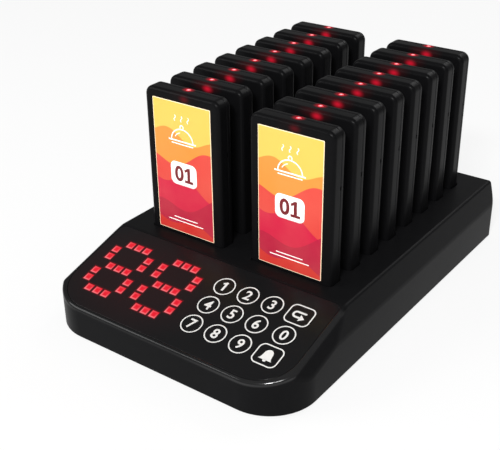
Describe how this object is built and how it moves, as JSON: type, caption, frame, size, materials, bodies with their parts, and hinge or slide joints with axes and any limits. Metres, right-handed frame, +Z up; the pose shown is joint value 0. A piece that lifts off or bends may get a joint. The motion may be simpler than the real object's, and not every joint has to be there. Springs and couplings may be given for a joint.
{
  "type": "guest pager system",
  "caption": "Counter-top pager base with a sloping keypad and two-digit light display, and a raised deck whose slots hold and charge slim pagers.",
  "frame": {"origin": "middle of the base's footprint at the height of the counter it stands on", "axes": "+X to the right for the person at the keypad, +Y from the keypad to the back, +Z up"},
  "size_m": [0.1634, 0.242, 0.124],
  "materials": {
    "base_shell": "satin black moulded ABS with a fine grain",
    "pager_shell": "satin black moulded ABS",
    "overlay": "glossy black printed panel, white key marks",
    "housing_black": "black moulded housings",
    "light_red": "red lit diffusers",
    "label_print": "printed paper label under a clear film",
    "board_green": "solder-masked circuit board",
    "switch_metal": "stamped steel cans",
    "contact_gold": "gold-plated brass",
    "cable_grey": "grey ribbon cable and plugs",
    "module_blue": "radio module board",
    "slider_grey": "dark grey slider",
    "foot_rubber": "black rubber",
    "screw_steel": "zinc-plated steel",
    "battery_silver": "foil pouch cell"
  },
  "bodies": {
    "base": {"top_shell": "base_shell", "pager_tray": "base_shell", "bottom_cover": "base_shell", "keypad_overlay": "overlay", "display_housings": "housing_black", "display_lights": "light_red", "keypad_board": "board_green", "key_switches": "switch_metal", "main_board": "board_green", "charging_pins": "contact_gold", "board_cable": "cable_grey", "radio_module": "module_blue", "antenna": "contact_gold", "buzzer": "housing_black", "power_inlet": "housing_black", "power_switch_body": "housing_black", "rubber_feet": "foot_rubber", "case_screws": "screw_steel", "board_screws": "screw_steel"},
    "key_1": {"key_1": "overlay"},
    "key_2": {"key_2": "overlay"},
    "key_3": {"key_3": "overlay"},
    "key_return": {"key_return": "overlay"},
    "key_4": {"key_4": "overlay"},
    "key_5": {"key_5": "overlay"},
    "key_6": {"key_6": "overlay"},
    "key_0": {"key_0": "overlay"},
    "key_7": {"key_7": "overlay"},
    "key_8": {"key_8": "overlay"},
    "key_9": {"key_9": "overlay"},
    "key_call": {"key_call": "overlay"},
    "power_slider": {"power_switch_slider": "slider_grey"},
    "pager_a1": {"pager_a1_front_shell": "pager_shell", "pager_a1_rear_shell": "pager_shell", "pager_a1_label": "label_print", "pager_a1_light_pipe": "light_red", "pager_a1_board": "board_green", "pager_a1_battery": "battery_silver", "pager_a1_motor": "switch_metal", "pager_a1_sounder": "housing_black", "pager_a1_contacts": "contact_gold"},
    "pager_a2": {"pager_a2": "pager_shell"},
    "pager_a3": {"pager_a3": "pager_shell"},
    "pager_a4": {"pager_a4": "pager_shell"},
    "pager_a5": {"pager_a5": "pager_shell"},
    "pager_a6": {"pager_a6": "pager_shell"},
    "pager_a7": {"pager_a7": "pager_shell"},
    "pager_a8": {"pager_a8": "pager_shell"},
    "pager_b1": {"pager_b1": "pager_shell", "pager_b1_label": "label_print"},
    "pager_b2": {"pager_b2": "pager_shell"},
    "pager_b3": {"pager_b3": "pager_shell"},
    "pager_b4": {"pager_b4": "pager_shell"},
    "pager_b5": {"pager_b5": "pager_shell"},
    "pager_b6": {"pager_b6": "pager_shell"},
    "pager_b7": {"pager_b7": "pager_shell"},
    "pager_b8": {"pager_b8": "pager_shell"}
  },
  "joints": [
    {"name": "key_1_press", "type": "slide", "parent": "base", "child": "key_1", "axis": [0, 0.2756, -0.9613], "range_m": [0, 0.0004], "stiffness_N_per_m": 900, "springref_m": -0.0008},
    {"name": "key_2_press", "type": "slide", "parent": "base", "child": "key_2", "axis": [0, 0.2756, -0.9613], "range_m": [0, 0.0004], "stiffness_N_per_m": 900, "springref_m": -0.0008},
    {"name": "key_3_press", "type": "slide", "parent": "base", "child": "key_3", "axis": [0, 0.2756, -0.9613], "range_m": [0, 0.0004], "stiffness_N_per_m": 900, "springref_m": -0.0008},
    {"name": "key_return_press", "type": "slide", "parent": "base", "child": "key_return", "axis": [0, 0.2756, -0.9613], "range_m": [0, 0.0004], "stiffness_N_per_m": 900, "springref_m": -0.0008},
    {"name": "key_4_press", "type": "slide", "parent": "base", "child": "key_4", "axis": [0, 0.2756, -0.9613], "range_m": [0, 0.0004], "stiffness_N_per_m": 900, "springref_m": -0.0008},
    {"name": "key_5_press", "type": "slide", "parent": "base", "child": "key_5", "axis": [0, 0.2756, -0.9613], "range_m": [0, 0.0004], "stiffness_N_per_m": 900, "springref_m": -0.0008},
    {"name": "key_6_press", "type": "slide", "parent": "base", "child": "key_6", "axis": [0, 0.2756, -0.9613], "range_m": [0, 0.0004], "stiffness_N_per_m": 900, "springref_m": -0.0008},
    {"name": "key_0_press", "type": "slide", "parent": "base", "child": "key_0", "axis": [0, 0.2756, -0.9613], "range_m": [0, 0.0004], "stiffness_N_per_m": 900, "springref_m": -0.0008},
    {"name": "key_7_press", "type": "slide", "parent": "base", "child": "key_7", "axis": [0, 0.2756, -0.9613], "range_m": [0, 0.0004], "stiffness_N_per_m": 900, "springref_m": -0.0008},
    {"name": "key_8_press", "type": "slide", "parent": "base", "child": "key_8", "axis": [0, 0.2756, -0.9613], "range_m": [0, 0.0004], "stiffness_N_per_m": 900, "springref_m": -0.0008},
    {"name": "key_9_press", "type": "slide", "parent": "base", "child": "key_9", "axis": [0, 0.2756, -0.9613], "range_m": [0, 0.0004], "stiffness_N_per_m": 900, "springref_m": -0.0008},
    {"name": "key_call_press", "type": "slide", "parent": "base", "child": "key_call", "axis": [0, 0.2756, -0.9613], "range_m": [0, 0.0004], "stiffness_N_per_m": 900, "springref_m": -0.0008},
    {"name": "power_slide", "type": "slide", "parent": "base", "child": "power_slider", "axis": [1, 0, 0], "range_m": [0, 0.004]},
    {"name": "pager_a1_lift", "type": "slide", "parent": "base", "child": "pager_a1", "axis": [0, 0, 1], "range_m": [0, 0.025]},
    {"name": "pager_a2_lift", "type": "slide", "parent": "base", "child": "pager_a2", "axis": [0, 0, 1], "range_m": [0, 0.025]},
    {"name": "pager_a3_lift", "type": "slide", "parent": "base", "child": "pager_a3", "axis": [0, 0, 1], "range_m": [0, 0.025]},
    {"name": "pager_a4_lift", "type": "slide", "parent": "base", "child": "pager_a4", "axis": [0, 0, 1], "range_m": [0, 0.025]},
    {"name": "pager_a5_lift", "type": "slide", "parent": "base", "child": "pager_a5", "axis": [0, 0, 1], "range_m": [0, 0.025]},
    {"name": "pager_a6_lift", "type": "slide", "parent": "base", "child": "pager_a6", "axis": [0, 0, 1], "range_m": [0, 0.025]},
    {"name": "pager_a7_lift", "type": "slide", "parent": "base", "child": "pager_a7", "axis": [0, 0, 1], "range_m": [0, 0.025]},
    {"name": "pager_a8_lift", "type": "slide", "parent": "base", "child": "pager_a8", "axis": [0, 0, 1], "range_m": [0, 0.025]},
    {"name": "pager_b1_lift", "type": "slide", "parent": "base", "child": "pager_b1", "axis": [0, 0, 1], "range_m": [0, 0.025]},
    {"name": "pager_b2_lift", "type": "slide", "parent": "base", "child": "pager_b2", "axis": [0, 0, 1], "range_m": [0, 0.025]},
    {"name": "pager_b3_lift", "type": "slide", "parent": "base", "child": "pager_b3", "axis": [0, 0, 1], "range_m": [0, 0.025]},
    {"name": "pager_b4_lift", "type": "slide", "parent": "base", "child": "pager_b4", "axis": [0, 0, 1], "range_m": [0, 0.025]},
    {"name": "pager_b5_lift", "type": "slide", "parent": "base", "child": "pager_b5", "axis": [0, 0, 1], "range_m": [0, 0.025]},
    {"name": "pager_b6_lift", "type": "slide", "parent": "base", "child": "pager_b6", "axis": [0, 0, 1], "range_m": [0, 0.025]},
    {"name": "pager_b7_lift", "type": "slide", "parent": "base", "child": "pager_b7", "axis": [0, 0, 1], "range_m": [0, 0.025]},
    {"name": "pager_b8_lift", "type": "slide", "parent": "base", "child": "pager_b8", "axis": [0, 0, 1], "range_m": [0, 0.025]}
  ]
}
